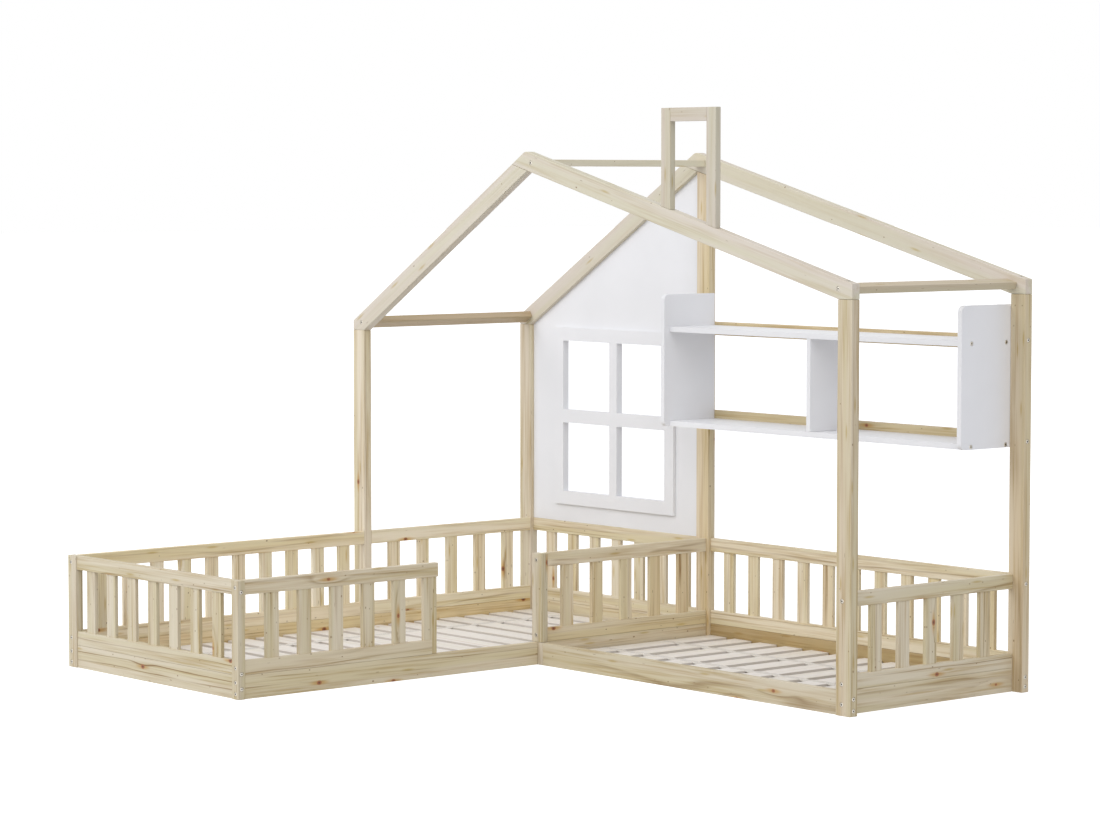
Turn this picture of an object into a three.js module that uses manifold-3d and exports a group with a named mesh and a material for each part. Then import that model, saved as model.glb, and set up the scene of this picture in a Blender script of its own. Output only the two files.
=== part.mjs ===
// A children's corner bed made of pine: a large bed and a small bed in one L shape that lie on the
// floor, low picket fences round both, a house frame with a chimney over the back half, a white
// gable wall with a window, and a white shelf with pine back rails. Millimetres, +Z up.
//
// x runs along the house front from the large bed to the small bed, y runs from the foot of the
// large bed to the back wall, and z is up from the floor. The last lines centre the model in x and y.

import * as THREE from 'three'
import { mergeVertices } from 'three/addons/utils/BufferGeometryUtils.js'
import Module from 'manifold-3d'

const wasm = await Module()
wasm.setup()

// Clear space inside the side boards, for a 900 x 1900 and a 700 x 1400 mattress
const LARGE_BED_WIDTH = 924.5
const LARGE_BED_LENGTH = 1963.5
const SMALL_BED_LENGTH = 1403.5
const SMALL_BED_WIDTH = 750.5

// Pieces that meet keep this much air between their faces
const JOINT_GAP = 0.3

// Bed boards, which stand on the floor
const BOARD_THICKNESS = 20
const BOARD_HEIGHT = 75
const FOOT_BOARD_RECESS = 5
const FRONT_BOARD_RECESS = 8
const MIDDLE_BOARD_STEP = 8

// Picket fences on top of the boards
const FENCE_TOP = 373
const FENCE_RAIL_HEIGHT = 46
const PICKET_WIDTH = 49
const PICKET_THICKNESS = 13
const PICKET_TENON = 12
const PICKET_PITCH = 121
const LEFT_PICKET_PITCH = 112
const BAY_PICKET_PITCH = 131
const LEAST_END_GAP = 50

// Gate fence beside the way in, which ends in a stile
const GATE_LENGTH = 769
const GATE_PICKET_PITCH = 125.5
const GATE_STILE_WIDTH = 54
const GATE_RAIL_OVERHANG = 4
const GATE_STILE_LAP = 33

// Short corner posts at the foot, the inner post and the block under it
const LEFT_CORNER_POST_WIDTH = 47.5
const LEFT_CORNER_POST_STEP = 18
const RIGHT_CORNER_POST_WIDTH = 34.5
const RIGHT_CORNER_POST_STEP = 9
const CORNER_POST_DEPTH = 28
const INNER_POST_WIDTH = 49.5
const CORNER_BLOCK_WIDTH = 26

// House frame; the two eaves have heights of their own
const POST_WIDTH = 61
const POST_DEPTH = 32.5
const LEFT_EAVE_HEIGHT = 1085.5
const RIGHT_EAVE_HEIGHT = 1257.5
const MIDDLE_POST_STEP = 24.5
const PEAK_HEIGHT = 1644.5
const RAFTER_DEPTH = 61

// Purlins between the front and the back rafters: the one at the ridge is level, and those at the
// eaves lie along the roof, at half the depth of the rafters
const PURLIN_WIDTH = 45
const PURLIN_HEIGHT = 22.5
const LEFT_PURLIN_INSET = 47.5
const RIGHT_PURLIN_INSET = 60
const RIDGE_PURLIN_STEP = 18.5
const RIDGE_PURLIN_RISE = 15

// Chimney frame on the front rafter, a step to the right of the peak
const CHIMNEY_STEP = 663.5
const CHIMNEY_WIDTH = 253.5
const CHIMNEY_TOP = 1841.5
const CHIMNEY_MEMBER_WIDTH = 43
const CHIMNEY_THICKNESS = 22

// Bolts that go through the rafters into the ends of the purlins
const BOLT_SHANK_RADIUS = 3
const BOLT_HEAD_RADIUS = 6.5
const BOLT_HEAD_HEIGHT = 4
const BOLT_HEAD_RECESS = 0.3
const BOLT_REACH = 40
const BOLT_CLEARANCE = 0.4
const BOLT_SOCKET_RADIUS = 2.9
const BOLT_SOCKET_DEPTH = 2.4
const BOLT_SIDES = 20
const SOCKET_SIDES = 6

// Slatted bases, each one a row of slats under two straps, over ledgers along the boards
const LEDGER_HEIGHT = 20.7
const LARGE_LEDGER_WIDTH = 20
const SMALL_LEDGER_WIDTH = 25
const SLAT_WIDTH = 83
const SLAT_THICKNESS = 14
const SLAT_CLEARANCE = 2
const LARGE_SLAT_PITCH = 115.6
const SMALL_SLAT_PITCH = 125
const STRAP_WIDTH = 30
const STRAP_THICKNESS = 1
const LARGE_STRAP_INSET = 213
const SMALL_STRAP_INSET = 225
const SMALL_STRAP_SPREAD = 268

// Gable wall and the window frame on it
const WALL_THICKNESS = 15
const WALL_BACK_RECESS = 2
const WINDOW_INSET = 132
const WINDOW_WIDTH = 644
const WINDOW_SILL_RISE = 64
const WINDOW_ROOF_MARGIN = 87.5
const WINDOW_BORDER = 48
const WINDOW_MULLION = 41
const WINDOW_THICKNESS = 11

// Shelf between the middle and the right back post
const SHELF_PANEL = 18
const SHELF_SIDE_DEPTH = 235
const SHELF_SIDE_HEIGHT = 450.5
const SHELF_BOARD_DEPTH = 210
const SHELF_EAVE_DROP = 33
const SHELF_CLEAR_HEIGHT = 304.5
const SHELF_DIVIDER_STEP = 5
const SHELF_CORNER_RADIUS = 20
const SHELF_CORNER_STEPS = 6
const SHELF_RAIL_HEIGHT = 46
const SHELF_LOWER_RAIL_RISE = 28
const SHELF_UPPER_RAIL_RISE = 11

// Places along x
const leftBoardInner = POST_WIDTH
const leftBoardOuter = leftBoardInner - BOARD_THICKNESS
const sideBoardInner = leftBoardInner + LARGE_BED_WIDTH
const sideBoardOuter = sideBoardInner + BOARD_THICKNESS
const middleBoardLeft = sideBoardInner + MIDDLE_BOARD_STEP
const middleBoardRight = middleBoardLeft + BOARD_THICKNESS
const endBoardInner = middleBoardRight + SMALL_BED_LENGTH
const endBoardOuter = endBoardInner + BOARD_THICKNESS
const totalWidth = endBoardInner + POST_WIDTH
const middlePostLeft = sideBoardInner - MIDDLE_POST_STEP
const middlePostRight = middlePostLeft + POST_WIDTH
const leftCornerPostRight = leftBoardInner + LEFT_CORNER_POST_STEP
const leftCornerPostLeft = leftCornerPostRight - LEFT_CORNER_POST_WIDTH
const rightCornerPostLeft = sideBoardInner - RIGHT_CORNER_POST_STEP
const rightCornerPostRight = rightCornerPostLeft + RIGHT_CORNER_POST_WIDTH
const cornerBlockLeft = sideBoardOuter + JOINT_GAP
const cornerBlockRight = cornerBlockLeft + CORNER_BLOCK_WIDTH

// Places along y
const footBoardBack = FOOT_BOARD_RECESS + BOARD_THICKNESS
const backBoardFront = footBoardBack + LARGE_BED_LENGTH
const totalDepth = backBoardFront + BOARD_THICKNESS
const frontBoardBack = backBoardFront - SMALL_BED_WIDTH
const frontBoardFront = frontBoardBack - BOARD_THICKNESS
const frontFrameFront = frontBoardFront - FRONT_BOARD_RECESS
const frontFrameBack = frontFrameFront + POST_DEPTH
const backFrameFront = totalDepth - POST_DEPTH
const innerPostBack = frontBoardFront + CORNER_POST_DEPTH

// The peak stands over the left face of the middle post
const peakX = middlePostLeft

// Roof slopes: height for each millimetre along x, and the rafters' depths measured upright
const leftSlope = (PEAK_HEIGHT - LEFT_EAVE_HEIGHT) / (peakX - POST_WIDTH)
const rightSlope = (PEAK_HEIGHT - RIGHT_EAVE_HEIGHT) / (endBoardInner - peakX)
const leftRafterHeight = RAFTER_DEPTH * Math.hypot(1, leftSlope)
const rightRafterHeight = RAFTER_DEPTH * Math.hypot(1, rightSlope)
const leftGap = JOINT_GAP * Math.hypot(1, leftSlope)
const rightGap = JOINT_GAP * Math.hypot(1, rightSlope)
const leftUnderside = (x) => PEAK_HEIGHT - leftSlope * (peakX - x)
const rightUnderside = (x) => PEAK_HEIGHT - rightSlope * (x - peakX)
const rightTop = (x) => rightUnderside(x) + rightRafterHeight

const finishes = {
  pine: { color: 0xd8c49c, roughness: 0.6, metalness: 0 },
  slatWood: { color: 0xe6dfd0, roughness: 0.7, metalness: 0 },
  whitePanel: { color: 0xf2f1ec, roughness: 0.45, metalness: 0 },
  steel: { color: 0xa9aaa8, roughness: 0.35, metalness: 1 },
}

const bed = new THREE.Group()

function add(name, geometry, finish) {
  const mesh = new THREE.Mesh(geometry, new THREE.MeshStandardMaterial(finish))
  mesh.name = name
  bed.add(mesh)
}

function solidOf(geometry) {
  const bare = geometry.clone()
  bare.deleteAttribute('normal')
  bare.deleteAttribute('uv')
  const merged = mergeVertices(bare)
  return new wasm.Manifold(new wasm.Mesh({
    numProp: 3,
    vertProperties: merged.attributes.position.array,
    triVerts: Uint32Array.from(merged.index.array),
  }))
}

function geometryOf(solid) {
  const mesh = solid.getMesh()
  const geometry = new THREE.BufferGeometry()
  geometry.setAttribute('position', new THREE.BufferAttribute(mesh.vertProperties, mesh.numProp))
  geometry.setIndex(new THREE.BufferAttribute(mesh.triVerts, 1))
  return geometry
}

function joined(geometries) {
  return geometryOf(geometries.map(solidOf).reduce((whole, piece) => whole.add(piece)))
}

function cut(geometry, cutters) {
  return geometryOf(cutters.map(solidOf).reduce((rest, cutter) => rest.subtract(cutter), solidOf(geometry)))
}

// A square-edged piece of wood, from its lowest to its highest place on each axis
function block(x, y, z) {
  const geometry = new THREE.BoxGeometry(x[1] - x[0], y[1] - y[0], z[1] - z[0])
  return geometry.translate((x[0] + x[1]) / 2, (y[0] + y[1]) / 2, (z[0] + z[1]) / 2)
}

// A block that runs along x or along y, with its place across that direction
function runningBlock(axis, along, across, z) {
  return axis === 'x' ? block(along, across, z) : block(across, along, z)
}

// The same piece with its two ends drawn back by the joint gap
function between(start, end) {
  return [start + JOINT_GAP, end - JOINT_GAP]
}

function outline(points) {
  return new THREE.Shape(points.map(([u, v]) => new THREE.Vector2(u, v)))
}

// A plate with an outline of x and z and its thickness along y
function frontPlate(shape, yFront, yBack) {
  const geometry = new THREE.ExtrudeGeometry(shape, { depth: yBack - yFront, bevelEnabled: false })
  return geometry.rotateX(Math.PI / 2).translate(0, yBack, 0)
}

// A plate with an outline of y and z and its thickness along x
function sidePlate(shape, xLeft, xRight) {
  const geometry = new THREE.ExtrudeGeometry(shape, {
    depth: xRight - xLeft,
    bevelEnabled: false,
    curveSegments: SHELF_CORNER_STEPS,
  })
  return geometry.rotateX(Math.PI / 2).rotateZ(Math.PI / 2).translate(xLeft, 0, 0)
}

// A bar along y from one place to another, in either order
function barAlongY(radius, x, z, yStart, yEnd, sides) {
  const geometry = new THREE.CylinderGeometry(radius, radius, Math.abs(yEnd - yStart), sides)
  return geometry.translate(x, (yStart + yEnd) / 2, z)
}

// Bolts of the roof: the rafter's outer face is at face, and inward is 1 towards +y or -1

function boltHole(x, z, face, inward) {
  const headSeat = face + inward * (BOLT_HEAD_RECESS + BOLT_HEAD_HEIGHT + BOLT_CLEARANCE)
  const tip = face + inward * (POST_DEPTH + BOLT_REACH + BOLT_CLEARANCE)
  const mouth = face - inward
  return [
    barAlongY(BOLT_HEAD_RADIUS + BOLT_CLEARANCE, x, z, mouth, headSeat, BOLT_SIDES),
    barAlongY(BOLT_SHANK_RADIUS + BOLT_CLEARANCE, x, z, mouth, tip, BOLT_SIDES),
  ]
}

function addBolt(name, x, z, face, inward) {
  const headFace = face + inward * BOLT_HEAD_RECESS
  const headBack = headFace + inward * BOLT_HEAD_HEIGHT
  const socketEnd = headFace + inward * BOLT_SOCKET_DEPTH
  const tip = face + inward * (POST_DEPTH + BOLT_REACH)
  const head = barAlongY(BOLT_HEAD_RADIUS, x, z, headFace, headBack, BOLT_SIDES)
  const shank = barAlongY(BOLT_SHANK_RADIUS, x, z, socketEnd + inward, tip, BOLT_SIDES)
  const socket = barAlongY(BOLT_SOCKET_RADIUS, x, z, headFace - inward, socketEnd, SOCKET_SIDES)
  add(name, cut(joined([head, shank]), [socket]), finishes.steel)
}

const rightPurlinX = totalWidth - RIGHT_PURLIN_INSET
const purlins = {
  left_eave: {
    x: LEFT_PURLIN_INSET,
    middle: leftUnderside(LEFT_PURLIN_INSET) + leftRafterHeight / 2,
    turn: Math.atan(leftSlope),
  },
  ridge: {
    x: peakX + RIDGE_PURLIN_STEP,
    middle: PEAK_HEIGHT + RIDGE_PURLIN_RISE + PURLIN_HEIGHT / 2,
    turn: 0,
  },
  right_eave: {
    x: rightPurlinX,
    middle: rightUnderside(rightPurlinX) + rightRafterHeight / 2,
    turn: -Math.atan(rightSlope),
  },
}
const rafterFaces = {
  front: { face: frontFrameFront, inward: 1 },
  back: { face: totalDepth, inward: -1 },
}

// House posts

function addHousePost(name, xLeft, yFront, topLeft, topRight) {
  const xRight = xLeft + POST_WIDTH
  const shape = outline([[xLeft, 0], [xRight, 0], [xRight, topRight], [xLeft, topLeft]])
  add(name, frontPlate(shape, yFront, yFront + POST_DEPTH), finishes.pine)
}

function addHousePosts() {
  const leftTop = LEFT_EAVE_HEIGHT - JOINT_GAP
  const rightTopOfPost = RIGHT_EAVE_HEIGHT - JOINT_GAP
  const middleTops = [middlePostLeft, middlePostRight].map((x) => rightUnderside(x) - rightGap)
  addHousePost('post_front_left', 0, frontFrameFront, leftTop, leftTop)
  addHousePost('post_front_right', endBoardInner, frontFrameFront, rightTopOfPost, rightTopOfPost)
  addHousePost('post_back_left', 0, backFrameFront, leftTop, leftTop)
  addHousePost('post_back_middle', middlePostLeft, backFrameFront, ...middleTops)
  addHousePost('post_back_right', endBoardInner, backFrameFront, rightTopOfPost, rightTopOfPost)
}

// Rafters: the right one runs over the peak, and the left one ends under it

function leftRafterOutline() {
  const slopes = leftSlope + rightSlope
  const lowerReach = rightGap / slopes
  const upperReach = (leftRafterHeight + rightGap) / slopes
  return outline([
    [0, LEFT_EAVE_HEIGHT],
    [POST_WIDTH, LEFT_EAVE_HEIGHT],
    [peakX - lowerReach, leftUnderside(peakX - lowerReach)],
    [peakX - upperReach, leftUnderside(peakX - upperReach) + leftRafterHeight],
    [0, leftUnderside(0) + leftRafterHeight],
  ])
}

function rightRafterOutline() {
  const slopes = leftSlope + rightSlope
  const tailX = peakX - leftRafterHeight / slopes
  const apexX = peakX - (leftRafterHeight - rightRafterHeight) / slopes
  return outline([
    [tailX, rightUnderside(tailX)],
    [endBoardInner, RIGHT_EAVE_HEIGHT],
    [totalWidth, RIGHT_EAVE_HEIGHT],
    [totalWidth, rightTop(totalWidth)],
    [apexX, rightTop(apexX)],
  ])
}

function addRafters() {
  for (const [side, { face, inward }] of Object.entries(rafterFaces)) {
    const yFront = Math.min(face, face + inward * POST_DEPTH)
    const yBack = yFront + POST_DEPTH
    const holes = (key) => boltHole(purlins[key].x, purlins[key].middle, face, inward)
    const left = frontPlate(leftRafterOutline(), yFront, yBack)
    const right = frontPlate(rightRafterOutline(), yFront, yBack)
    add(`rafter_${side}_left`, cut(left, holes('left_eave')), finishes.pine)
    add(`rafter_${side}_right`, cut(right, [...holes('ridge'), ...holes('right_eave')]), finishes.pine)
  }
}

// A purlin's section, turned about its middle
function purlinOutline({ x, middle, turn }) {
  const corners = [[-1, -1], [1, -1], [1, 1], [-1, 1]]
  return outline(corners.map(([side, level]) => {
    const across = side * PURLIN_WIDTH / 2
    const up = level * PURLIN_HEIGHT / 2
    return [
      x + across * Math.cos(turn) - up * Math.sin(turn),
      middle + across * Math.sin(turn) + up * Math.cos(turn),
    ]
  }))
}

function addPurlins() {
  for (const [key, purlin] of Object.entries(purlins)) {
    const { x, middle } = purlin
    const beam = frontPlate(purlinOutline(purlin), ...between(frontFrameBack, backFrameFront))
    const holes = Object.values(rafterFaces).flatMap(({ face, inward }) => {
      const tip = face + inward * (POST_DEPTH + BOLT_REACH + BOLT_CLEARANCE)
      return barAlongY(BOLT_SHANK_RADIUS + BOLT_CLEARANCE, x, middle, face, tip, BOLT_SIDES)
    })
    add(`purlin_${key}`, cut(beam, holes), finishes.pine)
    for (const [side, { face, inward }] of Object.entries(rafterFaces)) {
      addBolt(`bolt_${side}_${key}`, x, middle, face, inward)
    }
  }
}

// Chimney: two uprights cut to the slope of the rafter, and a rail between their tops

function addChimney() {
  const yBack = frontFrameFront + CHIMNEY_THICKNESS
  const chimneyLeft = peakX + CHIMNEY_STEP
  const lefts = [chimneyLeft, chimneyLeft + CHIMNEY_WIDTH - CHIMNEY_MEMBER_WIDTH]
  const names = ['chimney_upright_left', 'chimney_upright_right']
  lefts.forEach((left, index) => {
    const right = left + CHIMNEY_MEMBER_WIDTH
    const shape = outline([
      [left, rightTop(left) + rightGap],
      [right, rightTop(right) + rightGap],
      [right, CHIMNEY_TOP],
      [left, CHIMNEY_TOP],
    ])
    add(names[index], frontPlate(shape, frontFrameFront, yBack), finishes.pine)
  })
  const rail = block(
    between(lefts[0] + CHIMNEY_MEMBER_WIDTH, lefts[1]),
    [frontFrameFront, yBack],
    [CHIMNEY_TOP - CHIMNEY_MEMBER_WIDTH, CHIMNEY_TOP],
  )
  add('chimney_top_rail', rail, finishes.pine)
}

// Short posts at the corners of the large bed

function addShortPosts() {
  const footDepth = [0, CORNER_POST_DEPTH]
  const innerDepth = [frontBoardFront, innerPostBack]
  const innerWidth = [rightCornerPostLeft, rightCornerPostLeft + INNER_POST_WIDTH]
  const fullHeight = [0, FENCE_TOP]
  add('corner_post_foot_left',
    block([leftCornerPostLeft, leftCornerPostRight], footDepth, fullHeight), finishes.pine)
  add('corner_post_foot_right',
    block([rightCornerPostLeft, rightCornerPostRight], footDepth, fullHeight), finishes.pine)
  add('corner_post_inner',
    block(innerWidth, innerDepth, [BOARD_HEIGHT + JOINT_GAP, FENCE_TOP]), finishes.pine)
  add('corner_block_inner',
    block([cornerBlockLeft, cornerBlockRight], innerDepth, [0, BOARD_HEIGHT]), finishes.pine)
}

// Sides of the two beds: each has a direction, its two ends and the place of its faces

const sides = {
  foot: {
    axis: 'x',
    along: between(leftCornerPostRight, rightCornerPostLeft),
    across: [FOOT_BOARD_RECESS, footBoardBack],
  },
  left_front: {
    axis: 'y',
    along: between(CORNER_POST_DEPTH, frontFrameFront),
    across: [leftBoardOuter, leftBoardInner],
  },
  left_back: {
    axis: 'y',
    along: between(frontFrameBack, backFrameFront),
    across: [leftBoardOuter, leftBoardInner],
  },
  head: {
    axis: 'x',
    along: between(POST_WIDTH, middlePostLeft),
    across: [backBoardFront, totalDepth],
  },
  side: {
    axis: 'y',
    along: [CORNER_POST_DEPTH + JOINT_GAP, innerPostBack],
    across: [sideBoardInner, sideBoardOuter],
  },
  middle: {
    axis: 'y',
    along: between(innerPostBack, backFrameFront),
    across: [middleBoardLeft, middleBoardRight],
  },
  front: {
    axis: 'x',
    along: between(cornerBlockRight, endBoardInner),
    across: [frontBoardFront, frontBoardBack],
  },
  end: {
    axis: 'y',
    along: between(frontFrameBack, backFrameFront),
    across: [endBoardInner, endBoardOuter],
  },
  back: {
    axis: 'x',
    along: between(middlePostRight, endBoardInner),
    across: [backBoardFront, totalDepth],
  },
}

function addBoards() {
  for (const [name, { axis, along, across }] of Object.entries(sides)) {
    add(`board_${name}`, runningBlock(axis, along, across, [0, BOARD_HEIGHT]), finishes.pine)
  }
}

// Fences: two rails with pickets tenoned into them, glued up as one panel

const fenceBottom = BOARD_HEIGHT + JOINT_GAP
const lowerRailTop = fenceBottom + FENCE_RAIL_HEIGHT
const upperRailBottom = FENCE_TOP - FENCE_RAIL_HEIGHT

// As many pickets as fit between the ends, in a row about its own middle
function picketMiddles([start, end], middle, pitch) {
  const room = end - start - PICKET_WIDTH - 2 * LEAST_END_GAP
  const count = Math.floor(room / pitch) + 1
  return Array.from({ length: count }, (_, index) => middle + (index - (count - 1) / 2) * pitch)
}

function picket(axis, from, to, across, bottom) {
  const core = (across[0] + across[1]) / 2
  const faces = [core - PICKET_THICKNESS / 2, core + PICKET_THICKNESS / 2]
  return runningBlock(axis, [from, to], faces, [bottom, upperRailBottom + PICKET_TENON])
}

function fencePanel({ axis, along, across }, middles) {
  const lowerRail = runningBlock(axis, along, across, [fenceBottom, lowerRailTop])
  const upperRail = runningBlock(axis, along, across, [upperRailBottom, FENCE_TOP])
  const pickets = middles.map((middle) => picket(
    axis, middle - PICKET_WIDTH / 2, middle + PICKET_WIDTH / 2, across, lowerRailTop - PICKET_TENON))
  return joined([lowerRail, upperRail, ...pickets])
}

// The gate fence stops short of the way in; its stile stands on the board past the lower rail
function gatePanel() {
  const { axis, along, across } = sides.side
  const start = along[0]
  const end = start + GATE_LENGTH
  const stileEnd = end - GATE_RAIL_OVERHANG
  const stileStart = stileEnd - GATE_STILE_WIDTH
  const lastMiddle = stileEnd - GATE_STILE_WIDTH / 2
  const count = Math.floor((stileStart - start - LEAST_END_GAP) / GATE_PICKET_PITCH)
  const pickets = Array.from({ length: count }, (_, index) => {
    const middle = lastMiddle - (index + 1) * GATE_PICKET_PITCH
    return picket(axis, middle - PICKET_WIDTH / 2, middle + PICKET_WIDTH / 2, across,
      lowerRailTop - PICKET_TENON)
  })
  return joined([
    runningBlock(axis, [start, stileStart + GATE_STILE_LAP], across, [fenceBottom, lowerRailTop]),
    runningBlock(axis, [start, end], across, [upperRailBottom, FENCE_TOP]),
    picket(axis, stileStart, stileEnd, across, fenceBottom),
    ...pickets,
  ])
}

function addFences() {
  const footAndHeadMiddle = (
    leftCornerPostRight + rightCornerPostLeft + POST_WIDTH + middlePostLeft) / 4
  const smallBedMiddle = (middleBoardRight + endBoardInner) / 2
  const frontMiddle = (CORNER_POST_DEPTH + frontFrameFront) / 2
  const bayMiddle = (frontFrameBack + backFrameFront) / 2
  const rows = {
    foot: [footAndHeadMiddle, PICKET_PITCH],
    left_front: [frontMiddle, LEFT_PICKET_PITCH],
    left_back: [bayMiddle, BAY_PICKET_PITCH],
    head: [footAndHeadMiddle, PICKET_PITCH],
    middle: [bayMiddle, BAY_PICKET_PITCH],
    end: [bayMiddle, PICKET_PITCH],
    back: [smallBedMiddle, PICKET_PITCH],
  }
  for (const [name, [middle, pitch]] of Object.entries(rows)) {
    const middles = picketMiddles(sides[name].along, middle, pitch)
    add(`fence_${name}`, fencePanel(sides[name], middles), finishes.pine)
  }
  add('fence_gate', gatePanel(), finishes.pine)
}

// Slatted bases; the straps are let into the tops of the slats

const slatBottom = LEDGER_HEIGHT + JOINT_GAP
const slatTop = slatBottom + SLAT_THICKNESS

function slattedBase(axis, starts, slatAlong, strapMiddles) {
  const across = axis === 'x' ? 'y' : 'x'
  const slats = starts.map((start) => runningBlock(
    axis, slatAlong, [start, start + SLAT_WIDTH], [slatBottom, slatTop]))
  const strapRun = [Math.min(...starts), Math.max(...starts) + SLAT_WIDTH]
  const straps = strapMiddles.map((middle) => runningBlock(
    across, strapRun, [middle - STRAP_WIDTH / 2, middle + STRAP_WIDTH / 2],
    [slatTop - STRAP_THICKNESS, slatTop]))
  return joined([...slats, ...straps])
}

function addLargeBase() {
  const ledgerRun = between(CORNER_POST_DEPTH, backFrameFront)
  const ledgerHeight = [0, LEDGER_HEIGHT]
  const leftLedger = leftBoardInner + JOINT_GAP
  const rightLedger = sideBoardInner - JOINT_GAP
  add('ledger_large_left',
    block([leftLedger, leftLedger + LARGE_LEDGER_WIDTH], ledgerRun, ledgerHeight), finishes.pine)
  add('ledger_large_right',
    block([rightLedger - LARGE_LEDGER_WIDTH, rightLedger], ledgerRun, ledgerHeight), finishes.pine)
  const lastStart = backFrameFront - SLAT_CLEARANCE - SLAT_WIDTH
  const room = lastStart - CORNER_POST_DEPTH - SLAT_CLEARANCE
  const count = Math.floor(room / LARGE_SLAT_PITCH) + 1
  const starts = Array.from({ length: count }, (_, index) => lastStart - index * LARGE_SLAT_PITCH)
  const slatAlong = [leftBoardInner + SLAT_CLEARANCE, sideBoardInner - SLAT_CLEARANCE]
  const straps = [leftBoardInner + LARGE_STRAP_INSET, sideBoardInner - LARGE_STRAP_INSET]
  add('slats_large_bed', slattedBase('x', starts, slatAlong, straps), finishes.slatWood)
}

function addSmallBase() {
  const ledgerHeight = [0, LEDGER_HEIGHT]
  const frontLedger = frontBoardBack + JOINT_GAP
  const backLedger = backBoardFront - JOINT_GAP
  add('ledger_small_front', block(between(cornerBlockRight, endBoardInner),
    [frontLedger, frontLedger + SMALL_LEDGER_WIDTH], ledgerHeight), finishes.pine)
  add('ledger_small_back', block(between(middlePostRight, endBoardInner),
    [backLedger - SMALL_LEDGER_WIDTH, backLedger], ledgerHeight), finishes.pine)
  const firstStart = middlePostRight + SLAT_CLEARANCE
  const room = endBoardInner - SLAT_CLEARANCE - SLAT_WIDTH - firstStart
  const count = Math.floor(room / SMALL_SLAT_PITCH) + 1
  const starts = Array.from({ length: count }, (_, index) => firstStart + index * SMALL_SLAT_PITCH)
  const slatAlong = [innerPostBack + SLAT_CLEARANCE, backBoardFront - SLAT_CLEARANCE]
  const backStrap = backBoardFront - SMALL_STRAP_INSET
  const straps = [backStrap - SMALL_STRAP_SPREAD, backStrap]
  add('slats_small_bed', slattedBase('y', starts, slatAlong, straps), finishes.slatWood)
}

// Gable wall and the raised window frame on its front, with four panes cut through both

const windowLeft = POST_WIDTH + WINDOW_INSET
const windowRight = windowLeft + WINDOW_WIDTH
const windowBottom = FENCE_TOP + WINDOW_SILL_RISE
const windowTop = leftUnderside(windowLeft) - WINDOW_ROOF_MARGIN

function panes(yFront, yBack) {
  const middle = (windowLeft + windowRight) / 2
  const centre = (windowBottom + windowTop) / 2
  const columns = [
    [windowLeft + WINDOW_BORDER, middle - WINDOW_MULLION / 2],
    [middle + WINDOW_MULLION / 2, windowRight - WINDOW_BORDER],
  ]
  const rows = [
    [windowBottom + WINDOW_BORDER, centre - WINDOW_BORDER / 2],
    [centre + WINDOW_BORDER / 2, windowTop - WINDOW_BORDER],
  ]
  return columns.flatMap((x) => rows.map((z) => block(x, [yFront - 1, yBack + 1], z)))
}

function addGableWall() {
  const wallBack = totalDepth - WALL_BACK_RECESS
  const wallFront = wallBack - WALL_THICKNESS
  const [left, right] = between(POST_WIDTH, middlePostLeft)
  const bottom = FENCE_TOP + JOINT_GAP
  const wall = frontPlate(outline([
    [left, bottom],
    [right, bottom],
    [right, leftUnderside(right) - leftGap],
    [left, leftUnderside(left) - leftGap],
  ]), wallFront, wallBack)
  add('gable_wall', cut(wall, panes(wallFront, wallBack)), finishes.whitePanel)

  const frameBack = wallFront - JOINT_GAP
  const frameFront = frameBack - WINDOW_THICKNESS
  const frame = block([windowLeft, windowRight], [frameFront, frameBack], [windowBottom, windowTop])
  add('window_frame', cut(frame, panes(frameFront, frameBack)), finishes.whitePanel)
}

// Shelf, hung a set drop below the right eave

const shelfTop = RIGHT_EAVE_HEIGHT - SHELF_EAVE_DROP
const shelfBottom = shelfTop - SHELF_SIDE_HEIGHT

function shelfSideOutline(yFront, yBack, bottom, top) {
  const radius = SHELF_CORNER_RADIUS
  const shape = new THREE.Shape()
  shape.moveTo(yBack, bottom)
  shape.lineTo(yBack, top)
  shape.lineTo(yFront + radius, top)
  shape.absarc(yFront + radius, top - radius, radius, Math.PI / 2, Math.PI, false)
  shape.lineTo(yFront, bottom + radius)
  shape.absarc(yFront + radius, bottom + radius, radius, Math.PI, Math.PI * 1.5, false)
  shape.closePath()
  return shape
}

function addShelf() {
  const railFront = totalDepth - BOARD_THICKNESS
  const shelfBack = railFront - JOINT_GAP
  const [left, right] = between(middlePostRight, endBoardInner)
  const sideShape = shelfSideOutline(
    shelfBack - SHELF_SIDE_DEPTH, shelfBack, shelfBottom, shelfTop)
  add('shelf_side_left', sidePlate(sideShape, left, left + SHELF_PANEL), finishes.whitePanel)
  add('shelf_side_right', sidePlate(sideShape, right - SHELF_PANEL, right), finishes.whitePanel)

  const boardRun = between(left + SHELF_PANEL, right - SHELF_PANEL)
  const boardDepth = [shelfBack - SHELF_BOARD_DEPTH, shelfBack]
  const lowerTop = shelfBottom + SHELF_PANEL
  const upperBottom = lowerTop + SHELF_CLEAR_HEIGHT
  const upperTop = upperBottom + SHELF_PANEL
  const dividerLeft = (left + right) / 2 - SHELF_DIVIDER_STEP - SHELF_PANEL / 2
  add('shelf_board_lower', block(boardRun, boardDepth, [shelfBottom, lowerTop]), finishes.whitePanel)
  add('shelf_board_upper', block(boardRun, boardDepth, [upperBottom, upperTop]), finishes.whitePanel)
  add('shelf_divider', block([dividerLeft, dividerLeft + SHELF_PANEL], boardDepth,
    between(lowerTop, upperBottom)), finishes.whitePanel)

  const railTops = {
    lower: lowerTop + SHELF_LOWER_RAIL_RISE,
    upper: upperTop + SHELF_UPPER_RAIL_RISE,
  }
  for (const [name, top] of Object.entries(railTops)) {
    const height = [top - SHELF_RAIL_HEIGHT, top]
    add(`shelf_back_rail_${name}`, block([left, right], [railFront, totalDepth], height), finishes.pine)
  }
}

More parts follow.
